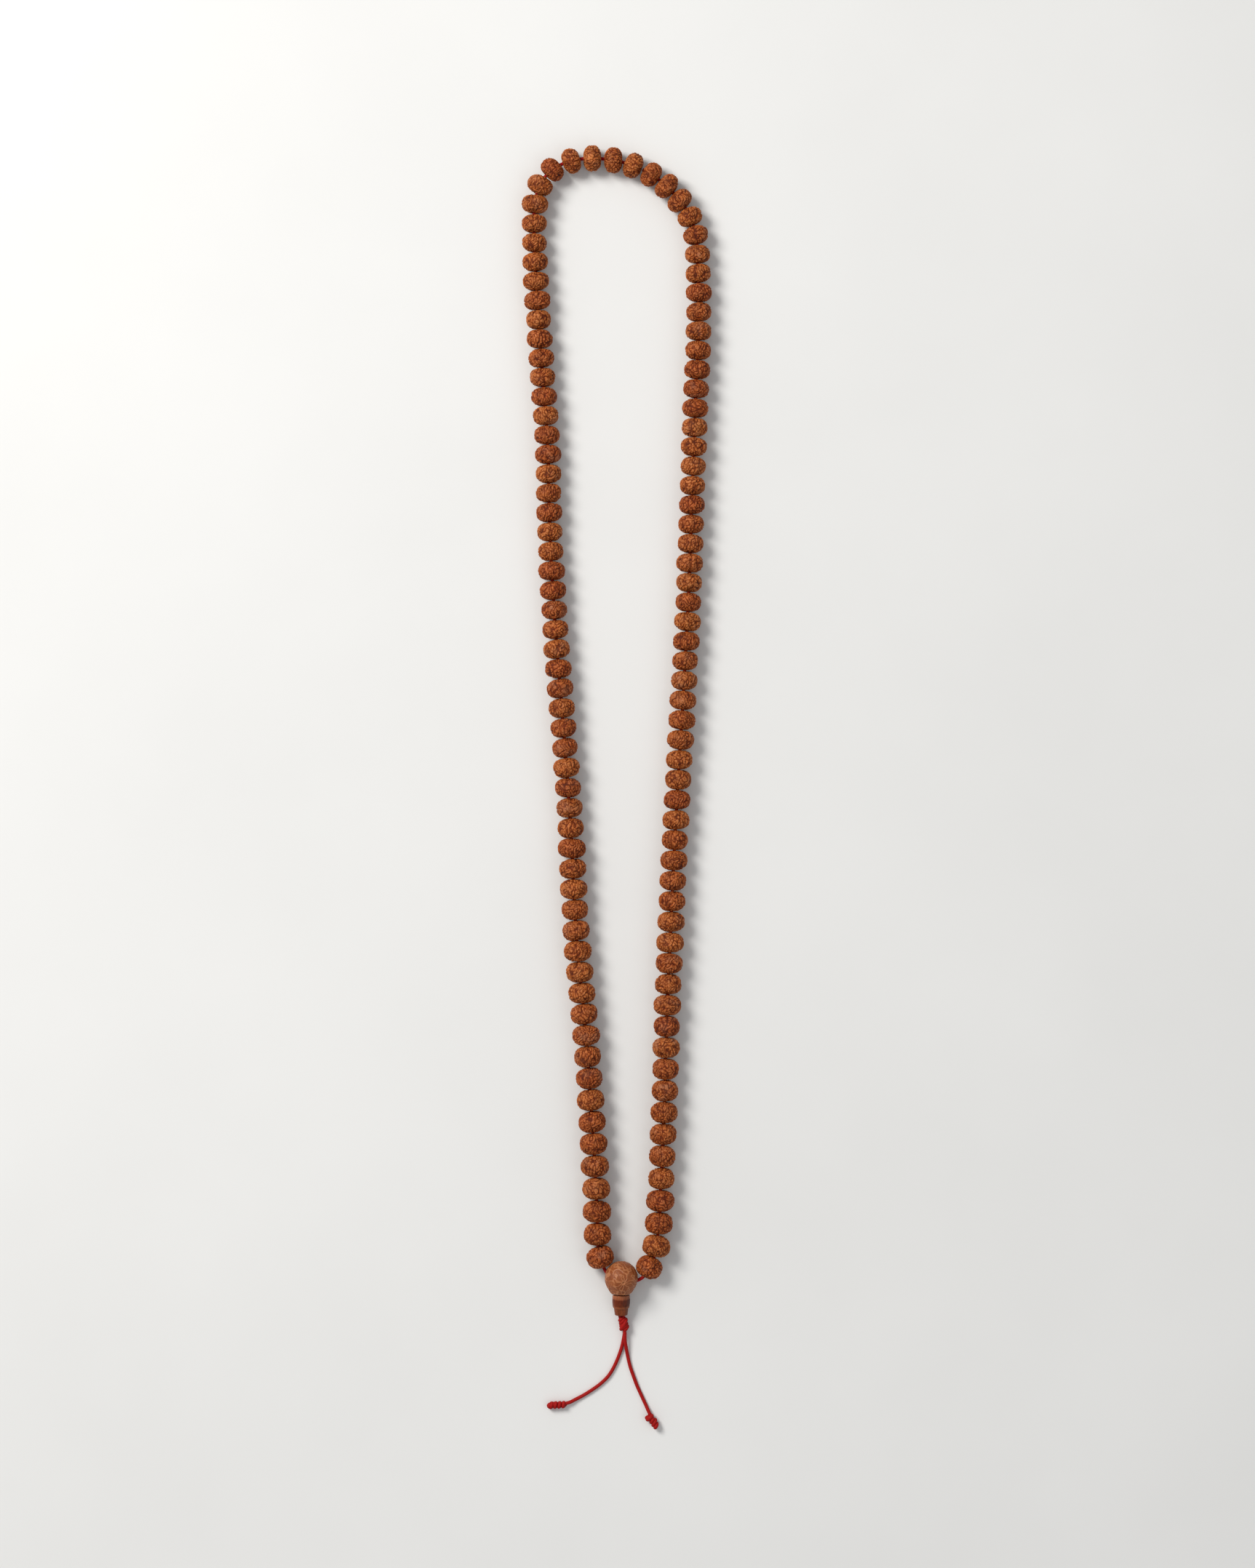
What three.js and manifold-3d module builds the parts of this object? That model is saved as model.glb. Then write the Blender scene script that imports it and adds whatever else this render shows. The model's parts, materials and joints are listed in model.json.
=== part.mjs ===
// A mala: 115 seed beads strung on one red cord and closed by a larger guru bead. Both ends of the cord run down
// through the guru bead and a small turned tower bead, are tied in one wrapped knot, and hang on as two tails,
// each with a small knot at its end.
//
// Millimetres, +Z up. The mala lies flat on the plane z = 0. The origin is the point of that plane right under
// the guru bead's centre, and the loop runs from there towards +Y.
import * as THREE from "three";
import { mergeVertices } from "three/addons/utils/BufferGeometryUtils.js";
import Module from "manifold-3d";

// ---- Driving dimensions -------------------------------------------------------------------------------------

const BEAD_COUNT = 115;
const LEFT_BEADS = 58; // beads on the left of the loop's top, where the string can part
const LINKS_PER_SIDE = 26; // groups of beads that bend against each other, on each side of the loop
const LEFT_TRIPLES_FROM = 5; // the first link on the left that holds three beads instead of two
const RIGHT_TRIPLES_FROM = 5;

const BEAD_RADIUS_AT_TOP = 4.0; // the beads are graded: smallest at the top of the loop
const BEAD_RADIUS_AT_GURU = 4.35;
const SPACING_AT_TOP = 5.9; // relative bead spacing along the string, scaled to fill it exactly
const SPACING_AT_GURU = 7.1;
const SPACING_GRADING = 3; // power by which the spacing grows towards the guru bead
const SLACK_SPACING = 0.65; // extra spacing where the string is slack, at the top
const SLACK_CENTRE = 0.49; // as a share of the string
const SLACK_WIDTH = 0.0225;

const BORE_RADIUS = 1.0;
const LINK_GAP = 0.3; // clear gap between one link's end face and the next
const PARTING_GAP = 0.9; // the same, at the top, where the two sides of the loop meet
const BEAD_SIDES = 8; // one of the eight flats faces straight down
const BEAD_END_RADIUS = 0.42; // radius of a bead's end face, as a share of its largest radius
const BEAD_FLAT = 0.32; // share of a bead's thickness that keeps the largest radius
const NECK_GAP = 0.5; // width of the groove between two beads of one link

const CORD_DIAMETER = 1.1;
const CORD_SIDES = 8;
const LOOP_CORD_SIDES = 6;
const LOOP_CORD_STEPS = 150;
const LOOP_CORD_CROWDING = 0.8; // 0 spaces the steps evenly, 1 crowds them fully where the cord bends
const TAIL_CORD_STEPS = 13;
const TOUCH_GAP = 0.3; // between pieces that meet face to face

const GURU_RADIUS = 5.15;
const GURU_SIDES = 20;
const GURU_RINGS = 10;
const GURU_YAW = THREE.MathUtils.degToRad(-12); // its side holes point a little down on the right
const CHANNEL_RADIUS = 0.95; // of the guru bead's drilled channels, one for each run of the cord
const CHANNEL_LENGTH = 11.5;
const CHANNEL_OVERRUN = 1.4; // of the channel's cut below the bead
const CHANNEL_STEPS = 12;
const FIRST_BEAD_FROM_GURU = 2.4; // free cord between the string's start and the first bead
const LAST_BEAD_FROM_GURU = 2.1;

const TASSEL_PITCH = THREE.MathUtils.degToRad(12.7); // tower and knot slope down from the guru bead to the table
const TOWER_BORE_RADIUS = 1.45;
const TOWER_SIDES = 16;
const TOWER_TOP = GURU_RADIUS + TOUCH_GAP + 0.05; // distance of the tower's wide end from the guru's centre
const CORD_PAIR_OFFSET = 0.62; // each run of the cord lies this far beside the tower's axis

const KNOT_YAW = THREE.MathUtils.degToRad(15);
const KNOT_SIDES = 12;
const END_KNOT_SIDES = 10;
const END_KNOT_RADIUS = 1.3;

// The string's line as seen from above, [x, y]: out of the guru bead's left hole, up the left strand, over the
// top and down the right strand to the right hole.
const STRING_ROUTE = [
  [-4.7, 1.0], [-5.2, 2.5], [-6.3, 5.9], [-7.1, 9.2], [-7.3, 13], [-7.7, 26.5], [-8.9, 47.3], [-10.8, 74],
  [-13.9, 107], [-15.6, 139], [-17.8, 169.4], [-20.2, 199], [-22, 229], [-22.8, 258.4], [-25, 288], [-26.5, 312],
  [-26.9, 325.4], [-26.7, 331.8], [-25.2, 337.8], [-21.8, 342.4], [-15.7, 345.5], [-9.2, 346.3], [-2.9, 345.8],
  [3.5, 344.2], [9.2, 341.4], [14, 337.8], [17.7, 333.8], [20.8, 329.2], [22.9, 323.5], [23.8, 312], [24, 295],
  [23, 271], [21.9, 241], [20.8, 210], [19.2, 180], [17.3, 148.5], [15.7, 116.4], [14.3, 84.5], [13.3, 52],
  [12.4, 31], [11.7, 17], [10.9, 10.2], [10.1, 6.2], [8.6, 3.1], [6.7, 0.2], [5.0, -1.05],
];

// The cord's run from the string's left end into the guru bead and down to the tower, [x, y, z].
const LEFT_RUN_IN_GURU = [
  [-0.62, -4.4, 4.16], [-0.66, -3.2, 4.46], [-1.0, -1.9, 4.85], [-2.0, -0.6, 5.1], [-3.3, 0.3, 5.15],
];
const RIGHT_RUN_IN_GURU = [
  [3.5, -1.15, 5.15], [2.2, -1.5, 5.05], [1.15, -2.5, 4.75], [0.68, -3.6, 4.36], [0.62, -4.6, 4.12],
];

// The tails' lines, [x, y, z], from the knot to their end knots.
const LEFT_TAIL_ROUTE = [
  [1.0, -17.6, 0.72], [0.75, -19.2, 0.56], [0.2, -21.8, 0.56], [-0.8, -24.8, 0.56], [-2.2, -28, 0.56],
  [-4, -30.9, 0.56], [-6.3, -33.2, 0.56], [-8.9, -35.1, 0.56], [-11.6, -36.8, 0.56], [-14.1, -38.1, 0.7],
  [-16.4, -39.1, 1.2],
];
const RIGHT_TAIL_ROUTE = [
  [1.15, -17.6, 1.95], [1.15, -19.2, 1.9], [1.5, -21.8, 1.35], [2.05, -24.8, 0.65], [2.8, -28, 0.56],
  [3.8, -30.9, 0.56], [5.0, -34.1, 0.56], [6.4, -37.2, 0.56], [7.7, -40, 0.75], [8.5, -41.8, 1.2],
];
const LEFT_END_KNOT = { from: [-16.9, -39.2], to: [-23.0, -39.5] };
const RIGHT_END_KNOT = { from: [8.7, -42.15], to: [10.9, -46.6] };

// ---- Small helpers ------------------------------------------------------------------------------------------

const wasm = await Module();
wasm.setup();

const vector = ([x, y, z = 0]) => new THREE.Vector3(x, y, z);
const alongY = new THREE.Vector3(0, 1, 0);

function material(color, roughness) {
  return new THREE.MeshStandardMaterial({ color, roughness, metalness: 0, flatShading: true });
}
const seed = () => material(0xa05a30, 0.7);
const guruSeed = () => material(0xa8683c, 0.55);
const turnedWood = () => material(0x7e3c22, 0.45);
const redCord = () => material(0xc01818, 0.65);

function named(name, geometry, ownMaterial) {
  const mesh = new THREE.Mesh(geometry, ownMaterial);
  mesh.name = name;
  return mesh;
}

// A ring polygon's corner radius whose flats lie at the given radius.
const cornerRadius = (radius, sides) => radius / Math.cos(Math.PI / sides);

// A turned solid about Y. The profile is [radius, y] pairs from low y to high y; with a bore it is closed by
// the bore's wall, else by the axis.
function turned(profile, sides, boreRadius = 0) {
  const points = profile.map(([radius, y]) => new THREE.Vector2(radius, y));
  const [low, high] = [points[0].y, points.at(-1).y];
  points.unshift(new THREE.Vector2(boreRadius, low));
  points.push(new THREE.Vector2(boreRadius, high));
  if (boreRadius > 0) points.push(points[0].clone());
  return new THREE.LatheGeometry(points, sides, Math.PI / sides);
}

function circleShape(radius, sides) {
  const corners = [];
  for (let i = 0; i < sides; i++) {
    const angle = (2 * Math.PI * (i + 0.5)) / sides;
    corners.push(new THREE.Vector2(radius * Math.cos(angle), radius * Math.sin(angle)));
  }
  return new THREE.Shape(corners);
}

function tubeAlong(curve, radius, sides, steps) {
  return new THREE.ExtrudeGeometry(circleShape(radius, sides), {
    extrudePath: curve,
    steps,
    bevelEnabled: false,
  });
}

function toManifold(geometry) {
  const bare = geometry.clone();
  bare.deleteAttribute("normal");
  bare.deleteAttribute("uv");
  const merged = mergeVertices(bare, 1e-4);
  return new wasm.Manifold(
    new wasm.Mesh({
      numProp: 3,
      vertProperties: merged.attributes.position.array,
      triVerts: new Uint32Array(merged.index.array),
    }),
  );
}

function fromManifold(solid) {
  const { vertProperties, triVerts } = solid.getMesh();
  const geometry = new THREE.BufferGeometry();
  geometry.setAttribute("position", new THREE.BufferAttribute(new Float32Array(vertProperties), 3));
  geometry.setIndex(new THREE.BufferAttribute(new Uint32Array(triVerts), 1));
  geometry.computeVertexNormals();
  return geometry;
}

// ---- The string and the beads' places on it -----------------------------------------------------------------

const stringLine = new THREE.CatmullRomCurve3(STRING_ROUTE.map(vector));
stringLine.arcLengthDivisions = 4000;
const STRING_LENGTH = stringLine.getLength();

// How far a place is from the top of the loop, from 0 there to 1 at the guru bead.
const fromTop = (station) => Math.abs((2 * station) / STRING_LENGTH - 1);

const beadRadiusAt = (station) =>
  THREE.MathUtils.lerp(BEAD_RADIUS_AT_TOP, BEAD_RADIUS_AT_GURU, fromTop(station));

// A point of the string's centreline, at the height of the beads' axes.
function stringPoint(station) {
  const point = stringLine.getPointAt(THREE.MathUtils.clamp(station / STRING_LENGTH, 0, 1));
  point.z = beadRadiusAt(station);
  return point;
}

function relativeSpacing(index) {
  const share = (index + 0.5) / BEAD_COUNT;
  const grading = Math.abs(2 * share - 1) ** SPACING_GRADING;
  const slack = SLACK_SPACING * Math.exp(-(((share - SLACK_CENTRE) / SLACK_WIDTH) ** 2));
  return THREE.MathUtils.lerp(SPACING_AT_TOP, SPACING_AT_GURU, grading) + slack;
}

// beadEdges[i] and beadEdges[i + 1] are the stations between which bead i sits.
function layOutBeads() {
  const spacings = Array.from({ length: BEAD_COUNT }, (_, index) => relativeSpacing(index));
  const total = spacings.reduce((sum, spacing) => sum + spacing, 0);
  const room = STRING_LENGTH - FIRST_BEAD_FROM_GURU - LAST_BEAD_FROM_GURU;
  const edges = [FIRST_BEAD_FROM_GURU];
  for (const spacing of spacings) edges.push(edges.at(-1) + (spacing * room) / total);
  return edges;
}
const beadEdges = layOutBeads();

// The number of beads in each link of one side, counted from the guru bead.
function linkSizes(beads, triplesFrom) {
  const triples = beads - 2 * LINKS_PER_SIDE;
  return Array.from({ length: LINKS_PER_SIDE }, (_, link) =>
    link >= triplesFrom && link < triplesFrom + triples ? 3 : 2,
  );
}

// ---- Beads --------------------------------------------------------------------------------------------------

// Half of the clear gap on the low or the high side of a link that ends at this bead edge.
function halfGapAt(edge) {
  if (edge === LEFT_BEADS) return PARTING_GAP / 2;
  return LINK_GAP / 2;
}

// One link: the beads from index first to index last on one bore, turned on a straight axis and then bent
// along the string. The pivot is where the link bends against the one before it.
function beadLink(first, last, pivot) {
  const start = beadEdges[first] + halfGapAt(first);
  const end = beadEdges[last + 1] - halfGapAt(last + 1);
  const profile = [];
  for (let bead = first; bead <= last; bead++) {
    const low = bead === first ? start : beadEdges[bead] + NECK_GAP / 2;
    const high = bead === last ? end : beadEdges[bead + 1] - NECK_GAP / 2;
    const middle = (low + high) / 2;
    const halfFlat = (BEAD_FLAT * (high - low)) / 2;
    const radius = cornerRadius(beadRadiusAt(middle), BEAD_SIDES);
    profile.push([BEAD_END_RADIUS * radius, low], [radius, middle - halfFlat]);
    profile.push([radius, middle + halfFlat], [BEAD_END_RADIUS * radius, high]);
  }
  const geometry = boredLink(profile, first, last);
  bendAlongString(geometry, pivot);
  return geometry;
}

// The link's closed profile: its outside, then back through the bore with a stop at each bead edge.
function boredLink(profile, first, last) {
  const points = profile.map(([radius, y]) => new THREE.Vector2(radius, y));
  points.push(new THREE.Vector2(BORE_RADIUS, profile.at(-1)[1]));
  for (let edge = last; edge > first; edge--) points.push(new THREE.Vector2(BORE_RADIUS, beadEdges[edge]));
  points.push(new THREE.Vector2(BORE_RADIUS, profile[0][1]));
  points.push(points[0].clone());
  return new THREE.LatheGeometry(points, BEAD_SIDES, Math.PI / BEAD_SIDES);
}

// Moves each vertex from the straight axis Y to the same station of the string, keeping Z up, and measures it
// from the pivot.
function bendAlongString(geometry, pivot) {
  const position = geometry.attributes.position;
  for (let i = 0; i < position.count; i++) {
    const station = position.getY(i);
    const tangent = stringLine.getTangentAt(THREE.MathUtils.clamp(station / STRING_LENGTH, 0, 1));
    const moved = stringPoint(station).sub(pivot);
    moved.x += tangent.y * position.getX(i);
    moved.y -= tangent.x * position.getX(i);
    moved.z += position.getZ(i);
    position.setXYZ(i, moved.x, moved.y, moved.z);
  }
  geometry.computeVertexNormals();
}

const beadNumber = (index) => String(index + 1).padStart(3, "0");

// One side of the loop as a chain: each link's group sits at its pivot inside the group of the link before it.
function strand(firstEdge, direction, sizes) {
  const chain = [];
  let edge = firstEdge;
  let holder = null;
  let holderPivot = new THREE.Vector3();
  for (const size of sizes) {
    const pivot = stringPoint(beadEdges[edge]);
    const [first, last] = direction > 0 ? [edge, edge + size - 1] : [edge - size, edge - 1];
    const link = new THREE.Group();
    link.position.copy(pivot).sub(holderPivot);
    link.add(named(`beads_${beadNumber(first)}_${beadNumber(last)}`, beadLink(first, last, pivot), seed()));
    if (holder) holder.add(link);
    chain.push(link);
    holder = link;
    holderPivot = pivot;
    edge += direction * size;
  }
  return chain[0];
}

// ---- Guru bead, tower bead and knot -------------------------------------------------------------------------

const guruCentre = new THREE.Vector3(0, 0, GURU_RADIUS);

// A ball whose widest ring is a flat band, so that one of its facets lies on the table.
function guruBall() {
  const bandAngle = Math.PI / (2 * GURU_RINGS);
  const ballRadius = cornerRadius(GURU_RADIUS, GURU_SIDES) / Math.cos(bandAngle);
  const profile = [];
  for (let ring = 0; ring < GURU_RINGS; ring++) {
    const latitude = -Math.PI / 2 + (2 * ring + 1) * bandAngle;
    profile.push([ballRadius * Math.cos(latitude), ballRadius * Math.sin(latitude)]);
  }
  const ball = turned(profile, GURU_SIDES);
  ball.rotateZ(-Math.PI / 2);
  ball.rotateZ(GURU_YAW);
  ball.translate(guruCentre.x, guruCentre.y, guruCentre.z);
  return ball;
}

// The tower's frame: at the guru bead's centre, with -Y running down through the tower.
const tasselFrame = new THREE.Matrix4().makeRotationX(TASSEL_PITCH).setPosition(guruCentre);
const onTassel = (x, distance) => new THREE.Vector3(x, -distance, 0).applyMatrix4(tasselFrame);

// [radius, distance from the wide end] of the turned tower, wide end first.
const TOWER_PROFILE = [
  [2.45, 0], [2.65, 0.25], [2.65, 1.1], [2.5, 1.5], [2.72, 1.95], [2.72, 3.3], [2.55, 3.85], [2.3, 4.1],
  [2.05, 6.3], [1.9, 6.5],
];
const TOWER_END = TOWER_TOP + TOWER_PROFILE.at(-1)[1];

function towerGeometry() {
  const rising = TOWER_PROFILE.map(([radius, down]) => [radius, -TOWER_TOP - down]).reverse();
  return turned(rising, TOWER_SIDES, TOWER_BORE_RADIUS);
}

// [radius, distance from its upper face] of the wrapped knot.
const KNOT_PROFILE = [
  [1.15, 0], [1.45, 0.5], [1.4, 1.7], [1.55, 2.6], [1.6, 3.9], [1.45, 4.6], [1.1, 5.1],
];

// The two runs of the cord end just above the knot's upper face.
const KNOT_FACE = TOWER_END + TOUCH_GAP + 0.05;
const CORD_END = KNOT_FACE - 2 * TOUCH_GAP;

function knotGeometry() {
  const rising = KNOT_PROFILE.map(([radius, down]) => [radius, -down]).reverse();
  return turned(rising, KNOT_SIDES);
}

function endKnotGeometry(length) {
  const lobe = length / 3;
  const profile = [[0.75, 0]];
  for (let i = 0; i < 3; i++) {
    profile.push([END_KNOT_RADIUS, (i + 0.3) * lobe], [END_KNOT_RADIUS, (i + 0.7) * lobe]);
    if (i < 2) profile.push([0.85 * END_KNOT_RADIUS, (i + 1) * lobe]);
  }
  profile.push([0.75, length]);
  return turned(profile, END_KNOT_SIDES);
}

function endKnot(name, { from, to }) {
  const start = new THREE.Vector3(...from, END_KNOT_RADIUS / Math.cos(Math.PI / END_KNOT_SIDES));
  const run = new THREE.Vector3(to[0] - from[0], to[1] - from[1], 0);
  const knot = named(name, endKnotGeometry(run.length()), redCord());
  knot.position.copy(start);
  knot.quaternion.setFromUnitVectors(alongY, run.normalize());
  return knot;
}

// ---- Cords --------------------------------------------------------------------------------------------------

// The same line as another curve, with steps that crowd together at both ends and in the middle, which is where
// the cord bends, and spread out on the straight strands.
class CrowdedCurve extends THREE.Curve {
  constructor(line, crowding) {
    super();
    this.line = line;
    this.crowding = crowding;
  }
  share(t) {
    const wave = Math.sin(4 * Math.PI * t) / (4 * Math.PI);
    return THREE.MathUtils.clamp(t - this.crowding * wave, 0, 1);
  }
  getPoint(t) {
    return this.line.getPointAt(this.share(t));
  }
  getPointAt(t) {
    return this.getPoint(t);
  }
  getTangentAt(t) {
    return this.line.getTangentAt(this.share(t));
  }
}

// The whole strung run: up through the tower and the guru bead, round the loop, and back down.
function loopCordLine() {
  const left = [onTassel(-CORD_PAIR_OFFSET, CORD_END), onTassel(-CORD_PAIR_OFFSET, CORD_END - 3)];
  const right = [onTassel(CORD_PAIR_OFFSET, CORD_END - 3), onTassel(CORD_PAIR_OFFSET, CORD_END)];
  const onString = [];
  for (let edge = 0; edge <= BEAD_COUNT; edge++) onString.push(stringPoint(beadEdges[edge]));
  const line = new THREE.CatmullRomCurve3([
    ...left,
    ...LEFT_RUN_IN_GURU.map(vector),
    ...onString,
    ...RIGHT_RUN_IN_GURU.map(vector),
    ...right,
  ]);
  line.arcLengthDivisions = 6000;
  return line;
}

// One drilled channel of the guru bead: it follows the cord between two distances from the cord's start, which
// lie just outside the bead.
function channel(cordLine, from, to) {
  const points = [];
  for (let i = 0; i <= CHANNEL_STEPS; i++) {
    const distance = THREE.MathUtils.lerp(from, to, i / CHANNEL_STEPS);
    points.push(cordLine.getPointAt(distance / cordLine.getLength()));
  }
  const line = new THREE.CatmullRomCurve3(points);
  return toManifold(tubeAlong(line, CHANNEL_RADIUS, CORD_SIDES, CHANNEL_STEPS));
}

function guruGeometry(cordLine) {
  const below = CORD_END - GURU_RADIUS - CHANNEL_OVERRUN;
  const beside = below + CHANNEL_LENGTH;
  const whole = cordLine.getLength();
  return fromManifold(
    toManifold(guruBall())
      .subtract(channel(cordLine, below, beside))
      .subtract(channel(cordLine, whole - beside, whole - below)),
  );
}

function tailCord(name, route) {
  const line = new THREE.CatmullRomCurve3(route.map(vector));
  return named(name, tubeAlong(line, CORD_DIAMETER / 2, CORD_SIDES, TAIL_CORD_STEPS), redCord());
}

// ---- Assembly -----------------------------------------------------------------------------------------------

const mala = new THREE.Group();
mala.name = "mala";

const cordLine = loopCordLine();
mala.add(named("guru_bead", guruGeometry(cordLine), guruSeed()));
const loopCordCurve = new CrowdedCurve(cordLine, LOOP_CORD_CROWDING);
const loopCord = tubeAlong(loopCordCurve, CORD_DIAMETER / 2, LOOP_CORD_SIDES, LOOP_CORD_STEPS);
mala.add(named("loop_cord", loopCord, redCord()));
mala.add(strand(0, 1, linkSizes(LEFT_BEADS, LEFT_TRIPLES_FROM)));
mala.add(strand(BEAD_COUNT, -1, linkSizes(BEAD_COUNT - LEFT_BEADS, RIGHT_TRIPLES_FROM)));

const tassel = new THREE.Group();
tassel.applyMatrix4(tasselFrame);
tassel.add(named("tower_bead", towerGeometry(), turnedWood()));
const knot = named("main_knot", knotGeometry(), redCord());
knot.position.set(0, -KNOT_FACE, 0);
knot.rotation.z = KNOT_YAW;
tassel.add(knot);
mala.add(tassel);

mala.add(tailCord("tail_cord_left", LEFT_TAIL_ROUTE));
mala.add(tailCord("tail_cord_right", RIGHT_TAIL_ROUTE));
mala.add(endKnot("end_knot_left", LEFT_END_KNOT));
mala.add(endKnot("end_knot_right", RIGHT_END_KNOT));

export default mala;
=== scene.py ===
"""The looks of the mala: seed beads, guru bead, turned tower, braided cord and knots, on a pale floor."""
import json
import math

import bpy
import numpy as np
from mathutils import Matrix, Vector

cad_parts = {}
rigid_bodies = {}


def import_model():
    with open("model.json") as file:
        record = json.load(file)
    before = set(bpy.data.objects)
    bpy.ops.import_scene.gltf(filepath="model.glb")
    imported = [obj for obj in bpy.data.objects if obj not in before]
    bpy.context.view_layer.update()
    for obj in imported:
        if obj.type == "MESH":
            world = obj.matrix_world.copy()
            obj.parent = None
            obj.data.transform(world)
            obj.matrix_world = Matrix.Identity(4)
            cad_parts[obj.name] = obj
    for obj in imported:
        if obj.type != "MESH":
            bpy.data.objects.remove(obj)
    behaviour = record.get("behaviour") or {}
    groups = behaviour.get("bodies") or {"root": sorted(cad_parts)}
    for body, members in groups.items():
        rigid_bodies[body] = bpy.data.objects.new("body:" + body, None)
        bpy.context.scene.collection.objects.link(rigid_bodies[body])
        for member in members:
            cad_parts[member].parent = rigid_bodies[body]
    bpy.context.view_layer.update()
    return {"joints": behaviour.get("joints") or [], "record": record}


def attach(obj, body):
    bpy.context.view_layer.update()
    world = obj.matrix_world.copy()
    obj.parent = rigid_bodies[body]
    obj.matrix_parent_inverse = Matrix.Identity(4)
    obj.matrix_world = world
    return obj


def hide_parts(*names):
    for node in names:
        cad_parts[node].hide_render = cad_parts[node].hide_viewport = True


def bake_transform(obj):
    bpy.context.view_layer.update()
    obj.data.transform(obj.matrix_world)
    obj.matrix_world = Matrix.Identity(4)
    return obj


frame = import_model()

MM = 0.001
RANDOM_SEED = 20
FULL_TURN = 2 * math.pi

# ---- Camera -----------------------------------------------------------------------------------------------

CAMERA_AIM = (1.96, 152.75)  # the point of the table that the camera looks straight down at, in mm
FIELD_HEIGHT = 485.1  # mm of the bead plane that the view takes in from its lower to its upper edge
LENS = 100.0  # mm
SENSOR = 36.0  # mm
BEAD_PLANE = 4.2  # the beads' middles' height above the table
FARTHEST_SEEN = 100  # m


def make_camera():
    data = bpy.data.cameras.new("camera")
    data.lens = LENS
    data.sensor_width = SENSOR
    data.clip_end = FARTHEST_SEEN
    camera = bpy.data.objects.new("camera", data)
    height = BEAD_PLANE + FIELD_HEIGHT * LENS / SENSOR
    camera.location = (CAMERA_AIM[0] * MM, CAMERA_AIM[1] * MM, height * MM)
    bpy.context.scene.collection.objects.link(camera)
    bpy.context.scene.camera = camera


make_camera()

# ---- Dimensions shared with part.mjs, in mm ---------------------------------------------------------------

BEAD_COUNT = 115
LEFT_BEADS = 58
BEAD_RADIUS_AT_TOP = 4.0
BEAD_RADIUS_AT_GURU = 4.35
SPACING_AT_TOP = 5.9
SPACING_AT_GURU = 7.1
SPACING_GRADING = 3
SLACK_SPACING = 0.65
SLACK_CENTRE = 0.49
SLACK_WIDTH = 0.0225
FIRST_BEAD_FROM_GURU = 2.4
LAST_BEAD_FROM_GURU = 2.1
CORD_DIAMETER = 1.1
GURU_RADIUS = 5.15
TASSEL_PITCH = math.radians(12.7)
TOWER_TOP = 5.5
TOWER_LENGTH = 6.5
KNOT_FACE = TOWER_TOP + TOWER_LENGTH + 0.35
CORD_END = KNOT_FACE - 0.6
CORD_PAIR_OFFSET = 0.62
KNOT_YAW = math.radians(15)

STRING_ROUTE = [
    (-4.7, 1.0), (-5.2, 2.5), (-6.3, 5.9), (-7.1, 9.2), (-7.3, 13), (-7.7, 26.5), (-8.9, 47.3), (-10.8, 74),
    (-13.9, 107), (-15.6, 139), (-17.8, 169.4), (-20.2, 199), (-22, 229), (-22.8, 258.4), (-25, 288),
    (-26.5, 312), (-26.9, 325.4), (-26.7, 331.8), (-25.2, 337.8), (-21.8, 342.4), (-15.7, 345.5),
    (-9.2, 346.3), (-2.9, 345.8), (3.5, 344.2), (9.2, 341.4), (14, 337.8), (17.7, 333.8), (20.8, 329.2),
    (22.9, 323.5), (23.8, 312), (24, 295), (23, 271), (21.9, 241), (20.8, 210), (19.2, 180), (17.3, 148.5),
    (15.7, 116.4), (14.3, 84.5), (13.3, 52), (12.4, 31), (11.7, 17), (10.9, 10.2), (10.1, 6.2), (8.6, 3.1),
    (6.7, 0.2), (5.0, -1.05),
]
LEFT_RUN_IN_GURU = [
    (-0.62, -4.4, 4.16), (-0.66, -3.2, 4.46), (-1.0, -1.9, 4.85), (-2.0, -0.6, 5.1), (-3.3, 0.3, 5.15),
]
RIGHT_RUN_IN_GURU = [
    (3.5, -1.15, 5.15), (2.2, -1.5, 5.05), (1.15, -2.5, 4.75), (0.68, -3.6, 4.36), (0.62, -4.6, 4.12),
]
LEFT_TAIL_ROUTE = [
    (1.0, -17.6, 0.72), (0.75, -19.2, 0.56), (0.2, -21.8, 0.56), (-0.8, -24.8, 0.56), (-2.2, -28, 0.56),
    (-4, -30.9, 0.56), (-6.3, -33.2, 0.56), (-8.9, -35.1, 0.56), (-11.6, -36.8, 0.56), (-14.1, -38.1, 0.7),
    (-16.4, -39.1, 1.2),
]
RIGHT_TAIL_ROUTE = [
    (1.15, -17.6, 1.95), (1.15, -19.2, 1.9), (1.5, -21.8, 1.35), (2.05, -24.8, 0.65), (2.8, -28, 0.56),
    (3.8, -30.9, 0.56), (5.0, -34.1, 0.56), (6.4, -37.2, 0.56), (7.7, -40, 0.75), (8.5, -41.8, 1.2),
]
LEFT_END_KNOT = ((-16.9, -39.2), (-23.0, -39.5))
RIGHT_END_KNOT = ((8.7, -42.15), (10.9, -46.6))

# Where each tail's run starts inside the main knot and ends inside its end knot, in mm.
LEFT_TAIL_IN_KNOTS = ((1.0, -16.0, 1.1), (-23.05, -39.95, 1.25))
RIGHT_TAIL_IN_KNOTS = ((1.05, -16.1, 1.95), (11.0, -46.8, 1.4))

# ---- Routes -----------------------------------------------------------------------------------------------

ROUTE_SAMPLES = 80  # between two control points


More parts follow.
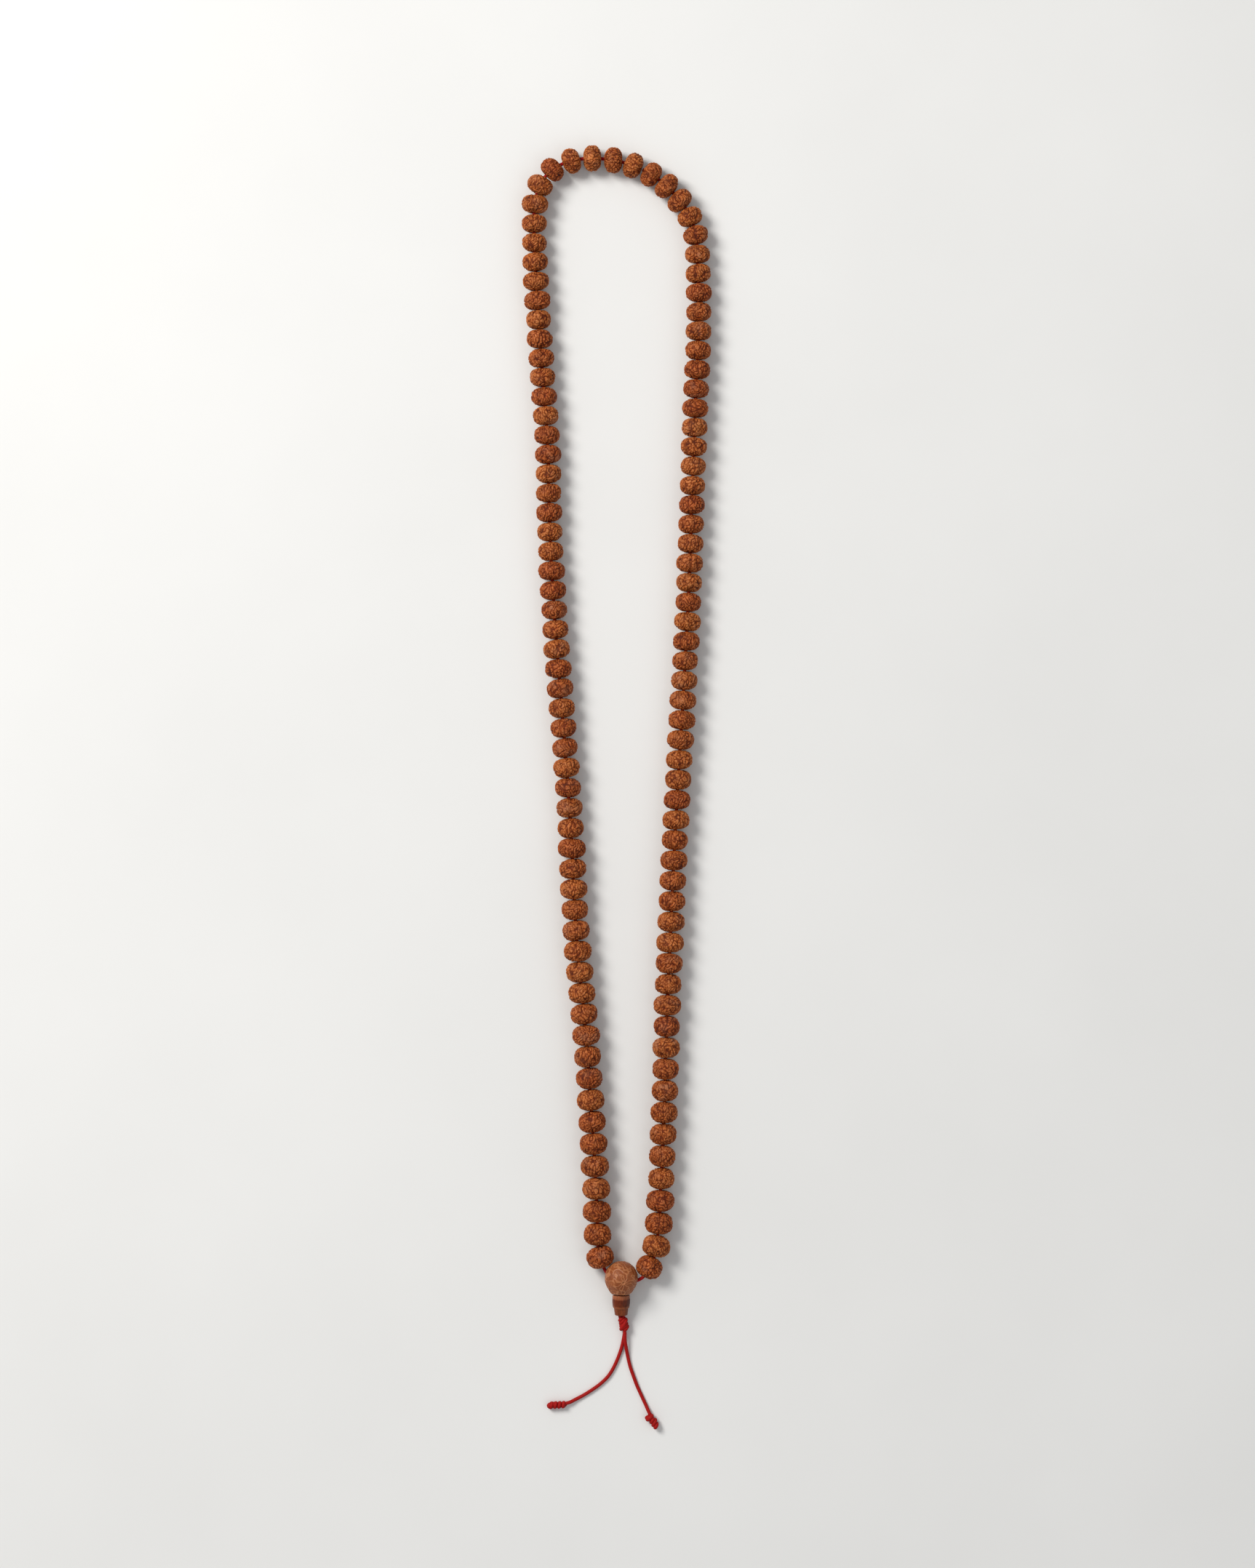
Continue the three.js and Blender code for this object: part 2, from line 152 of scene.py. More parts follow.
class Route:
    """A centripetal Catmull-Rom line through the points, in mm, measured along its length."""

    def __init__(self, points):
        self.points = np.array([(*p, 0.0)[:3] for p in points], float)
        self.samples = self.sampled()
        steps = np.linalg.norm(np.diff(self.samples, axis=0), axis=1)
        self.distances = np.concatenate([[0], np.cumsum(steps)])
        self.length = self.distances[-1]

    def sampled(self):
        p = self.points
        padded = np.vstack([2 * p[0] - p[1], p, 2 * p[-1] - p[-2]])
        share = np.arange(ROUTE_SAMPLES)[:, None] / ROUTE_SAMPLES
        pieces = []
        for a, b, c, d in zip(padded, padded[1:], padded[2:], padded[3:]):
            ab, bc, cd = (np.linalg.norm(v) ** 0.5 for v in (b - a, c - b, d - c))
            start = ((b - a) / ab - (c - a) / (ab + bc) + (c - b) / bc) * bc
            end = ((c - b) / bc - (d - b) / (bc + cd) + (d - c) / cd) * bc
            square = 3 * (c - b) - 2 * start - end
            cube = 2 * (b - c) + start + end
            pieces.append(b + start * share + square * share**2 + cube * share**3)
        return np.vstack([*pieces, p[-1:]])

    def at(self, distance):
        """The line's points at one or several distances."""
        return np.stack([np.interp(distance, self.distances, self.samples[:, i]) for i in range(3)], -1)

    def tangent(self, distance, reach=0.05):
        ahead = self.at(np.asarray(distance) + reach) - self.at(np.asarray(distance) - reach)
        return ahead / np.linalg.norm(ahead, axis=-1, keepdims=True)

    def control_distances(self):
        """How far along the line each control point lies."""
        return self.distances[:: ROUTE_SAMPLES]


string_line = Route(STRING_ROUTE)


def from_top(station):
    return np.abs(2 * station / string_line.length - 1)


def bead_radius_at(station):
    share = from_top(station)
    return BEAD_RADIUS_AT_TOP + (BEAD_RADIUS_AT_GURU - BEAD_RADIUS_AT_TOP) * share


def string_point(station):
    point = string_line.at(station)
    point[..., 2] = bead_radius_at(station)
    return point


def lay_out_beads():
    """The stations between which each bead sits, and each bead's own thickness without the string's slack."""
    share = (np.arange(BEAD_COUNT) + 0.5) / BEAD_COUNT
    grading = np.abs(2 * share - 1) ** SPACING_GRADING
    graded = SPACING_AT_TOP + (SPACING_AT_GURU - SPACING_AT_TOP) * grading
    spacing = graded + SLACK_SPACING * np.exp(-(((share - SLACK_CENTRE) / SLACK_WIDTH) ** 2))
    scale = (string_line.length - FIRST_BEAD_FROM_GURU - LAST_BEAD_FROM_GURU) / spacing.sum()
    edges = FIRST_BEAD_FROM_GURU + np.concatenate([[0], np.cumsum(spacing * scale)])
    return edges, graded * scale


bead_edges, bead_thickness = lay_out_beads()

# ---- Bodies -----------------------------------------------------------------------------------------------

behaviour = frame["record"]["behaviour"]
pivot_of = {joint["child"]: Vector(joint["pos_m"]) for joint in frame["joints"]}
parent_of = {joint["child"]: joint["parent"] for joint in frame["joints"]}
range_of = {joint["child"]: joint["range_deg"] for joint in frame["joints"]}


def bead_span(node):
    """The first and last bead's index of a node named beads_FIRST_LAST."""
    first, last = node.split("_")[1:]
    return int(first) - 1, int(last) - 1


def links_of(side):
    """[body, first bead, last bead, its nodes] of each link on one side, counted from the guru bead."""
    links = []
    for body, nodes in behaviour["bodies"].items():
        if body.startswith(side + "_link"):
            spans = [bead_span(node) for node in nodes]
            links.append((body, min(s[0] for s in spans), max(s[1] for s in spans), nodes))
    return links


left_links = links_of("left")
right_links = links_of("right")
body_of_bead = {}
node_of_bead = {}
for link_body, _, _, link_nodes in left_links + right_links:
    for link_node in link_nodes:
        for bead in range(bead_span(link_node)[0], bead_span(link_node)[1] + 1):
            body_of_bead[bead] = link_body
            node_of_bead[bead] = link_node

# ---- Mesh helpers -----------------------------------------------------------------------------------------


def smoothstep(value, low, high):
    share = np.clip((value - low) / (high - low), 0, 1)
    return share * share * (3 - 2 * share)


# A random field is named by how many waves it sums and their wavelength in mm.
WAVE_SPREAD = 0.15  # how far the waves of one field differ from its wavelength, as a share of it


def waves(points, field, rng, stretch=(1, 1, 1)):
    """A smooth random field whose ripples have about one wavelength: a sum of plane waves, unit variance."""
    count, wavelength = field
    direction = rng.normal(size=(count, 3))
    direction /= np.linalg.norm(direction, axis=1, keepdims=True)
    number = FULL_TURN / wavelength * rng.uniform(1 - WAVE_SPREAD, 1 + WAVE_SPREAD, (count, 1))
    phase = rng.uniform(0, FULL_TURN, count)
    return np.cos(points @ (direction * number * np.array(stretch)).T + phase).sum(1) * math.sqrt(2 / count)


def grid_mesh(name, grid, attributes, material, closed_lengthwise=False):
    """A mesh of rings of points in mm, closed round each ring, and capped at both ends unless the last ring
    joins the first. Each attribute is one number a point."""
    rings, sides = grid.shape[:2]
    index = np.arange(rings * sides).reshape(rings, sides)
    following = np.roll(index, -1, axis=0) if closed_lengthwise else index[1:]
    lower = index if closed_lengthwise else index[:-1]
    quads = np.stack([lower, np.roll(lower, -1, 1), np.roll(following, -1, 1), following], -1).reshape(-1, 4)
    corners = quads.ravel()
    starts = np.arange(len(quads)) * 4
    if not closed_lengthwise:
        starts = np.concatenate([starts, [corners.size, corners.size + sides]])
        corners = np.concatenate([corners, index[0][::-1], index[-1]])
    mesh = bpy.data.meshes.new(name)
    mesh.vertices.add(rings * sides)
    mesh.vertices.foreach_set("co", (grid * MM).astype(np.float32).ravel())
    mesh.loops.add(corners.size)
    mesh.loops.foreach_set("vertex_index", corners.astype(np.int32))
    mesh.polygons.add(len(starts))
    mesh.polygons.foreach_set("loop_start", starts.astype(np.int32))
    for key, values in attributes.items():
        layer = mesh.attributes.new(key, "FLOAT", "POINT")
        layer.data.foreach_set("value", np.asarray(values, np.float32).ravel())
    mesh.update(calc_edges=True)
    mesh.shade_smooth()
    mesh.materials.append(material)
    piece = bpy.data.objects.new(name, mesh)
    bpy.context.scene.collection.objects.link(piece)
    return piece


def even_profile(curve, count):
    """count points spaced evenly along a densely sampled 2-D curve."""
    steps = np.linalg.norm(np.diff(curve, axis=0), axis=1)
    distance = np.concatenate([[0], np.cumsum(steps)])
    wanted = np.linspace(0, distance[-1], count)
    return np.stack([np.interp(wanted, distance, curve[:, i]) for i in range(2)], 1)


def normals_of(grid, closed_lengthwise=False):
    """Unit normals of a grid of rings, pointing out of it."""
    around = np.roll(grid, -1, 1) - np.roll(grid, 1, 1)
    along = np.roll(grid, -1, 0) - np.roll(grid, 1, 0)
    if not closed_lengthwise:
        along[0] = grid[1] - grid[0]
        along[-1] = grid[-1] - grid[-2]
    normal = np.cross(around, along)
    return normal / np.maximum(np.linalg.norm(normal, axis=-1, keepdims=True), 1e-9)


def turned_grid(profile, sides):
    """Rings of a solid turned about Z from a profile of [radius, z]."""
    angle = np.arange(sides) * FULL_TURN / sides
    circle = np.stack([np.cos(angle), np.sin(angle)], 1)
    grid = np.zeros((len(profile), sides, 3))
    grid[..., :2] = profile[:, None, :1] * circle
    grid[..., 2] = profile[:, None, 1]
    return grid


NEARLY_UPRIGHT = 0.9  # cosine of the angle to the vertical under which a line takes +Y as its first up


def frames_along(points):
    """A side and an up direction for each point of a line, turning as little as possible."""
    tangent = np.gradient(points, axis=0)
    tangent /= np.linalg.norm(tangent, axis=1, keepdims=True)
    up = np.array([0.0, 0.0, 1.0])
    if abs(tangent[0] @ up) > NEARLY_UPRIGHT:
        up = np.array([0.0, 1.0, 0.0])
    sides, ups = [], []
    for direction in tangent:
        up = up - direction * (direction @ up)
        up = up / np.linalg.norm(up)
        ups.append(up)
        sides.append(np.cross(up, direction))
    return np.array(sides), np.array(ups)


# ---- Materials --------------------------------------------------------------------------------------------


class Nodes:
    """A material's node tree, built by short calls."""

    def __init__(self, name):
        self.material = bpy.data.materials.new(name)
        self.material.use_nodes = True
        self.tree = self.material.node_tree
        self.shader = self.tree.nodes["Principled BSDF"]

    def add(self, kind, inputs=(), **settings):
        node = self.tree.nodes.new(kind)
        for key, value in settings.items():
            setattr(node, key, value)
        for key, value in dict(inputs).items():
            self.put(node.inputs[key], value)
        return node

    def put(self, socket, value):
        if isinstance(value, bpy.types.NodeSocket):
            self.tree.links.new(value, socket)
        else:
            socket.default_value = value

    def attribute(self, name):
        return self.add("ShaderNodeAttribute", attribute_name=name).outputs["Fac"]

    def place(self, scale=(1, 1, 1)):
        coordinates = self.add("ShaderNodeTexCoord").outputs["Object"]
        return self.add("ShaderNodeMapping", {"Vector": coordinates, "Scale": scale}).outputs["Vector"]

    def noise(self, vector, scale, detail=3.0, roughness=0.55):
        inputs = {"Vector": vector, "Scale": scale, "Detail": detail, "Roughness": roughness}
        return self.add("ShaderNodeTexNoise", inputs).outputs["Fac"]

    def maths(self, operation, a, b=0.0, clamp=False):
        return self.add("ShaderNodeMath", {0: a, 1: b}, operation=operation, use_clamp=clamp).outputs[0]

    def span(self, value, low, high, to_low=0.0, to_high=1.0):
        inputs = {"Value": value, "From Min": low, "From Max": high, "To Min": to_low, "To Max": to_high}
        return self.add("ShaderNodeMapRange", inputs).outputs["Result"]

    def grey(self, value):
        return self.add("ShaderNodeCombineColor", {0: value, 1: value, 2: value}).outputs[0]

    def mix(self, factor, a, b, blend="MIX"):
        """A mix of two colours, which are this node's inputs 6 and 7 and its output 2."""
        node = self.add("ShaderNodeMix", data_type="RGBA", blend_type=blend)
        self.put(node.inputs["Factor"], factor)
        self.put(node.inputs[6], a)
        self.put(node.inputs[7], b)
        return node.outputs[2]

    def ramp(self, value, stops):
        node = self.add("ShaderNodeValToRGB", {"Fac": value})
        elements = node.color_ramp.elements
        while len(elements) < len(stops):
            elements.new(0.5)
        for element, (position, colour) in zip(elements, stops):
            element.position = position
            element.color = (*colour, 1)
        return node.outputs["Color"]

    def bump(self, height, distance, strength=1.0, normal=None):
        inputs = {"Height": height, "Distance": distance * MM, "Strength": strength}
        node = self.add("ShaderNodeBump", inputs)
        if normal is not None:
            self.put(node.inputs["Normal"], normal)
        return node.outputs["Normal"]

    def finish(self, **inputs):
        for key, value in inputs.items():
            self.put(self.shader.inputs[key.replace("_", " ")], value)
        return self.material


NOISE_SPAN = (0.3, 0.7)  # most of a noise texture's values lie between these
SEED_RAMP = [  # by the height of the relief: painted shade in the crevices, painted highlight on the ridge tops
    (0.0, (0.085, 0.012, 0.001)),
    (0.18, (0.175, 0.032, 0.004)),
    (0.45, (0.30, 0.070, 0.010)),
    (0.75, (0.40, 0.112, 0.023)),
    (1.0, (0.50, 0.165, 0.046)),
]
SEED_TINT = (0.80, 0.62, 0.55, 1)  # what the reddest seed's colour is multiplied by
# grey-brown of real dust and of painted sheen
SEED_DUST_AND_SHEEN = (0.33, 0.15, 0.085, 1)
SEED_GRAIN_BUMP = 1.6  # the coarse grain's share of the bump, against the fine grain's 1
GURU_RAMP = [
    (0.28, (0.175, 0.040, 0.009)),
    (0.5, (0.255, 0.066, 0.016)),
    (0.72, (0.33, 0.098, 0.029)),
]
VEIN_RAMP = [(0.3, (0.35, 0.120, 0.040)), (0.7, (0.46, 0.175, 0.070))]
# painted shade in the guru's holes and in the pit at its veins' pole
HOLE_SHADE_COLOUR = (0.07, 0.02, 0.008, 1)
GURU_GRAIN_BUMP = 1.4
WOOD_RAMP = [  # by the distance from the tower's wide end, as a share of its length
    (0.0, (0.30, 0.090, 0.036)),
    (0.13, (0.285, 0.080, 0.030)),
    (0.185, (0.115, 0.017, 0.004)),
    (0.44, (0.130, 0.022, 0.005)),
    (0.52, (0.195, 0.044, 0.012)),
    (1.0, (0.175, 0.036, 0.009)),
]
WOOD_FIGURE = 0.8  # the broad figure's share, against the fine grain's 1
TURNED_LINE = (0.36, 0.120, 0.048, 1)
CORD_RAMP = [  # by the height of the braid: painted shade in its grooves, painted highlight on its tops
    (0.0, (0.14, 0.002, 0.002)),
    (0.45, (0.29, 0.004, 0.003)),
    (0.85, (0.39, 0.009, 0.007)),
    (1.0, (0.46, 0.018, 0.013)),
]
FLOOR_RAMP = [(0.3, (0.74, 0.735, 0.72)), (0.7, (0.77, 0.765, 0.75))]
SURFACE_BUMP = 0.05  # mm
FLOOR_BUMP = 0.03  # mm


def seed_material():
    n = Nodes("seed")
    relief = n.attribute("relief")
    place = n.place()
    fine = n.noise(place, scale=4200, detail=4)
    blotch = n.noise(place, scale=420)
    height = n.maths("ADD", relief, n.span(fine, *NOISE_SPAN, to_low=-0.12, to_high=0.12))
    # painted shade in the crevices and painted highlight on the ridge tops, by the relief's height
    colour = n.ramp(height, SEED_RAMP)
    redder = n.mix(1.0, colour, SEED_TINT, "MULTIPLY")
    colour = n.mix(n.attribute("tint"), colour, redder)
    shade = n.span(blotch, 0.3, 0.72, to_low=0.72, to_high=1.18)
    colour = n.mix(1.0, colour, n.grey(shade), "MULTIPLY")
    # patches of dust and painted sheen, stronger on the ridge tops
    patch = n.span(n.noise(place, scale=260, detail=2), 0.5, 0.66)
    dust_and_sheen_mask = n.maths("MULTIPLY", patch, n.attribute("dust"))
    dust_and_sheen_mask = n.maths("MULTIPLY", dust_and_sheen_mask, n.span(relief, 0.2, 0.7, to_low=0.2, to_high=0.5))
    colour = n.mix(dust_and_sheen_mask, colour, SEED_DUST_AND_SHEEN)
    roughness = n.span(height, 0.2, 0.9, to_low=0.72, to_high=0.42)
    coarse = n.maths("MULTIPLY", n.noise(place, scale=1500), SEED_GRAIN_BUMP)
    normal = n.bump(n.maths("ADD", fine, coarse), SURFACE_BUMP, 0.8)
    return n.finish(Base_Color=colour, Roughness=roughness, Normal=normal, Specular_IOR_Level=0.18)


def guru_material():
    n = Nodes("guru_seed")
    place = n.place()
    fine = n.noise(place, scale=3600, detail=4)
    blotch = n.noise(place, scale=300, detail=4)
    mottle = n.maths("ADD", blotch, n.span(fine, *NOISE_SPAN, to_low=-0.12, to_high=0.12))
    ground = n.ramp(mottle, GURU_RAMP)
    line = n.ramp(fine, VEIN_RAMP)
    colour = n.mix(n.span(n.attribute("vein"), 0.15, 0.85), ground, line)
    # painted shade darkens the holes and the pit at the pole
    hole_shade = n.span(n.attribute("relief"), 0.0, 0.5, to_low=0.85, to_high=0.0)
    colour = n.mix(hole_shade, colour, HOLE_SHADE_COLOUR)
    roughness = n.span(fine, *NOISE_SPAN, to_low=0.36, to_high=0.55)
    coarse = n.maths("MULTIPLY", n.noise(place, scale=1100), GURU_GRAIN_BUMP)
    normal = n.bump(n.maths("ADD", fine, coarse), SURFACE_BUMP, 0.7)
    return n.finish(Base_Color=colour, Roughness=roughness, Normal=normal, Specular_IOR_Level=0.3)


def wood_material():
    n = Nodes("turned_wood")
    place = n.place((1, 0.12, 1))
    grain = n.noise(place, scale=2600, detail=5, roughness=0.65)
    figure = n.maths("MULTIPLY", n.noise(place, scale=700), WOOD_FIGURE)
    shade = n.span(n.maths("ADD", grain, figure), 0.6, 1.2, to_low=0.35, to_high=1.45)
    colour = n.mix(1.0, n.ramp(n.attribute("along"), WOOD_RAMP), n.grey(shade), "MULTIPLY")
    colour = n.mix(n.attribute("line"), colour, TURNED_LINE)
    roughness = n.span(grain, *NOISE_SPAN, to_low=0.32, to_high=0.55)
    normal = n.bump(grain, SURFACE_BUMP, 0.5)
    return n.finish(Base_Color=colour, Roughness=roughness, Normal=normal, Specular_IOR_Level=0.2)


def cord_material():
    n = Nodes("red_cord")
    fibre = n.noise(n.place(), scale=5200, detail=4, roughness=0.65)
    fuzz = n.span(fibre, *NOISE_SPAN, to_low=-0.22, to_high=0.22)
    # painted shade in the braid's grooves and painted highlight on its tops
    colour = n.ramp(n.maths("ADD", n.attribute("relief"), fuzz), CORD_RAMP)
    roughness = n.span(fibre, *NOISE_SPAN, to_low=0.45, to_high=0.7)
    normal = n.bump(fibre, SURFACE_BUMP, 0.8)
    return n.finish(Base_Color=colour, Roughness=roughness, Normal=normal, Specular_IOR_Level=0.12)


def floor_material():
    n = Nodes("floor")
    place = n.place()
    colour = n.ramp(n.noise(place, scale=9, detail=4), FLOOR_RAMP)
    normal = n.bump(n.noise(place, scale=900, detail=4), FLOOR_BUMP, 0.25)
    return n.finish(Base_Color=colour, Roughness=0.85, Normal=normal)


seed_look = seed_material()
guru_look = guru_material()
wood_look = wood_material()
cord_look = cord_material()

# ---- Cord -------------------------------------------------------------------------------------------------

BRAID_CELLS = 8  # bumps of the braid round the cord
BRAID_CELL_LENGTH = 0.7
BRAID_DEPTH = 0.025
BRAID_FULLNESS = 0.5  # under 1, the bumps are fuller and the lines between them narrower
SMALLEST_RING = 0.03  # distance of a rounded end's first ring from its tip, in radii
FREE_CORD_SIDES = 32
FREE_CORD_STEP = 0.1
BEND_REACH = 0.9  # mm each side of a pivot, the length to which the run's direction there is scaled
TAIL_STEPS = 400


def cord_rings(points, radius, sides, round_ends=False):
    """The rings of a braided cord along a line of points in mm, and how high its braid stands at each one."""
    side, up = frames_along(points)
    steps = np.linalg.norm(np.diff(points, axis=0), axis=1)
    distance = np.concatenate([[0], np.cumsum(steps)])[:, None]
    angle = np.arange(sides)[None, :] * FULL_TURN / sides
    turn = angle / FULL_TURN * BRAID_CELLS
    lift = distance / BRAID_CELL_LENGTH
    bumps = np.abs(np.cos(math.pi * (turn + lift)) * np.cos(math.pi * (turn - lift)))
    relief = bumps**BRAID_FULLNESS
    size = radius - BRAID_DEPTH * (1 - relief)
    if round_ends:
        from_end = np.clip(np.minimum(distance, distance[-1] - distance) / radius, SMALLEST_RING, 1)
        size = size * np.sqrt(1 - (1 - from_end) ** 2)
    across = np.cos(angle)[..., None] * side[:, None] + np.sin(angle)[..., None] * up[:, None]
    return points[:, None] + size[..., None] * across, relief


def evenly(points, step):
    """The same line with points about one step apart."""
    steps = np.linalg.norm(np.diff(points, axis=0), axis=1)
    distance = np.concatenate([[0], np.cumsum(steps)])
    wanted = np.linspace(0, distance[-1], max(3, round(distance[-1] / step) + 1))
    return np.stack([np.interp(wanted, distance, points[:, i]) for i in range(3)], 1)


def cord_piece(name, points, radius=CORD_DIAMETER / 2):
    grid, relief = cord_rings(evenly(points, FREE_CORD_STEP), radius, FREE_CORD_SIDES, round_ends=True)
    piece = grid_mesh(name, grid, {"relief": relief}, cord_look)
    return piece


def make_tail(side, route, in_knots):
    """A free tail: its route, run on into the main knot at the start and into its end knot at the end."""
    line = Route([in_knots[0], *route, in_knots[1]])
    points = line.at(np.linspace(0, line.length, TAIL_STEPS))
    piece = cord_piece(f"tail_{side}", points)
    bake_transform(piece)
    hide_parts(f"tail_cord_{side}")


# ---- Knots ------------------------------------------------------------------------------------------------

COIL_SAMPLES = 70  # to a turn
COIL_RAMP = 0.35  # turns over which each end of a coil is led into its core
RAMP_POWER = 1.2


def coil(turns, length, radii, tilt, phase, ramp=COIL_RAMP):
    """A wound strand about Z, from z = 0 to z = length, each turn tilted, both ends led into the core. Its
    radius goes from the first of radii to the second between the two shares of the turns that follow them."""
    turn = np.linspace(0, turns, int(turns * COIL_SAMPLES))
    angle = FULL_TURN * turn + phase
    rise = np.minimum(1, np.minimum(turn, turns - turn) / ramp)
    first, last, *over = radii
    radius = first + (last - first) * smoothstep(turn / turns, *over)
    reach = radius * np.sin(rise * math.pi / 2) ** RAMP_POWER
    x = reach * np.cos(angle)
    y = reach * np.sin(angle)
    z = length * turn / turns + tilt * x * rise
    return np.stack([x, y, z], 1)


def placed(points, matrix):
    """Points in mm moved by a 4x4 matrix in mm."""
    m = np.array(matrix)
    return points @ m[:3, :3].T + m[:3, 3]


def set_down(grid, turn, centre):
    """The grid turned, moved over the centre's x and y, and let down until it touches the floor."""
    points = placed(grid.reshape(-1, 3), turn)
    points += np.array([centre[0], centre[1], -points[:, 2].min()])
    return points.reshape(grid.shape)


tassel_frame = Matrix.Translation((0, 0, GURU_RADIUS)) @ Matrix.Rotation(TASSEL_PITCH, 4, "X")
down_tassel = tassel_frame @ Matrix.Rotation(math.pi / 2, 4, "X")  # its +Z runs down through the tower
knot_frame = (
    tassel_frame
    @ Matrix.Translation((0, -KNOT_FACE, 0))
    @ Matrix.Rotation(KNOT_YAW, 4, "Z")
    @ Matrix.Rotation(math.pi / 2, 4, "X")
)


def knot_strand(name, strand, matrix, along, radius, node, body, aside=(0, 0)):
    """One strand of a knot, starting some way along the knot's axis and lying aside of it by (x, y)."""
    piece = cord_piece(name, placed(strand + np.array([*aside, along]), matrix), radius)
    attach(piece, body)
    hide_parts(node)
    return piece


def make_main_knot():
    wound = coil(turns=4.4, length=4.1, radii=(0.8, 1.02, 0.2, 0.8), tilt=-0.42, phase=0.4)
    crossing = coil(turns=1.6, length=1.3, radii=(1.14, 1.14, 0, 1), tilt=-0.95, phase=2.2)
    home = {"node": "main_knot", "body": "tassel_head"}
    knot_strand("main_knot_wound", wound, knot_frame, along=0.5, radius=0.54, **home)
    knot_strand("main_knot_crossing", crossing, knot_frame, along=2.1, radius=0.57, **home)


LEFT_KNOT_HEIGHT = 1.23
RIGHT_KNOT_HEIGHT = 1.49
LEFT_KNOT_ASIDE = (-0.45, 0)  # the left end knot lies a little to one side of its cord
RING_ASIDE = (-0.5, -0.25)  # the right end knot's first lobe stands out on one side of the cord


def end_knot_frame(ends, height):
    start, finish = (Vector((*end, height)) for end in ends)
    turn = Vector((0, 0, 1)).rotation_difference(finish - start)
    return Matrix.Translation(start) @ turn.to_matrix().to_4x4()


def make_left_end_knot():
    matrix = end_knot_frame(LEFT_END_KNOT, LEFT_KNOT_HEIGHT) @ Matrix.Rotation(math.pi / 2, 4, "Z")
    wound = coil(turns=4.5, length=5.55, radii=(0.6, 0.66, 0.05, 0.3), tilt=-0.75, phase=0.4)
    back = coil(turns=1.6, length=1.9, radii=(0.55, 0.55, 0, 1), tilt=-0.75, phase=3.4)
    home = {"node": "end_knot_left", "body": "tail_left", "radius": 0.56, "aside": LEFT_KNOT_ASIDE}
    return [
        knot_strand("end_knot_left_wound", wound, matrix, along=0.17, **home),
        knot_strand("end_knot_left_back", back, matrix, along=3.75, **home),
    ]


def make_right_end_knot():
    matrix = end_knot_frame(RIGHT_END_KNOT, RIGHT_KNOT_HEIGHT)
    ring = coil(turns=1.8, length=0.95, radii=(0.8, 0.8, 0, 1), tilt=-0.1, phase=2.0, ramp=0.3)
    tip = coil(turns=2.6, length=3.0, radii=(0.76, 0.6, 0.1, 0.7), tilt=-0.5, phase=0.5)
    home = {"node": "end_knot_right", "body": "tail_right"}
    return [
        knot_strand("end_knot_right_ring", ring, matrix, along=0.92, radius=0.68, aside=RING_ASIDE, **home),
        knot_strand("end_knot_right_tip", tip, matrix, along=2.0, radius=0.6, **home),
    ]


make_main_knot()
left_end_knot = make_left_end_knot()
right_end_knot = make_right_end_knot()
make_tail("left", LEFT_TAIL_ROUTE, LEFT_TAIL_IN_KNOTS)
make_tail("right", RIGHT_TAIL_ROUTE, RIGHT_TAIL_IN_KNOTS)

# ---- The strung cord --------------------------------------------------------------------------------------

STRUNG_CORD_SIDES = 18
STRUNG_CORD_STEP = 0.2
PARTING_STEPS = 4  # steps left out where the run parts, inside a bead's bore
TOWER_MIDDLE = 4.5  # distance along the run from its end in the main knot
IN_KNOT = KNOT_FACE + 1.2  # distance down the tassel at which the strung run ends, inside the main knot
IN_TOWER = (CORD_END - 0.6, CORD_END - 3)  # distances at which each run is led down the tower
X_IN_KNOT = (-0.1, 0.5)  # where the left and the right run end


def on_tassel(x, distance):
    return tuple(tassel_frame @ Vector((x, -distance, 0)))


def loop_cord_line():
    left = [on_tassel(X_IN_KNOT[0], IN_KNOT), *[on_tassel(-CORD_PAIR_OFFSET, d) for d in IN_TOWER]]
    right = [*[on_tassel(CORD_PAIR_OFFSET, d) for d in IN_TOWER[::-1]], on_tassel(X_IN_KNOT[1], IN_KNOT)]
    on_string = [tuple(p) for p in string_point(bead_edges)]
    return Route([*left, *LEFT_RUN_IN_GURU, *on_string, *RIGHT_RUN_IN_GURU, *right]), len(left)


def cord_cuts(line, points_in_tassel):
    """Where the strung run is cut, as distances along it, and the body at each cut."""
    controls = line.control_distances()
    lead = points_in_tassel + len(LEFT_RUN_IN_GURU)
    at_edge = controls[lead : lead + BEAD_COUNT + 1]
    links = [*left_links, *right_links[::-1]]
    in_links = [(at_edge[first] + at_edge[last + 1]) / 2 for _, first, last, _ in links]
    lead_in = [0, TOWER_MIDDLE, controls[lead - 2]]
    lead_out = [line.length - distance for distance in lead_in[::-1]]
    ends = ["tassel_head", "tassel_head", "guru"]
    return [*lead_in, *in_links, *lead_out], [*ends, *[body for body, *_ in links], *ends[::-1]]


def bend_across(piece, here, there, points):
    """Finds the pivot between two bodies that a piece of the strung run passes, and bakes the piece's place
    into its mesh.
    """
    child = there if parent_of.get(there) == here else here
    pivot = np.array(pivot_of[child]) / MM
    nearest = np.argmin(np.linalg.norm(points - pivot, axis=1))
    direction = points[min(nearest + 1, len(points) - 1)] - points[nearest - 1]
    direction = direction / np.linalg.norm(direction) * BEND_REACH
    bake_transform(piece)


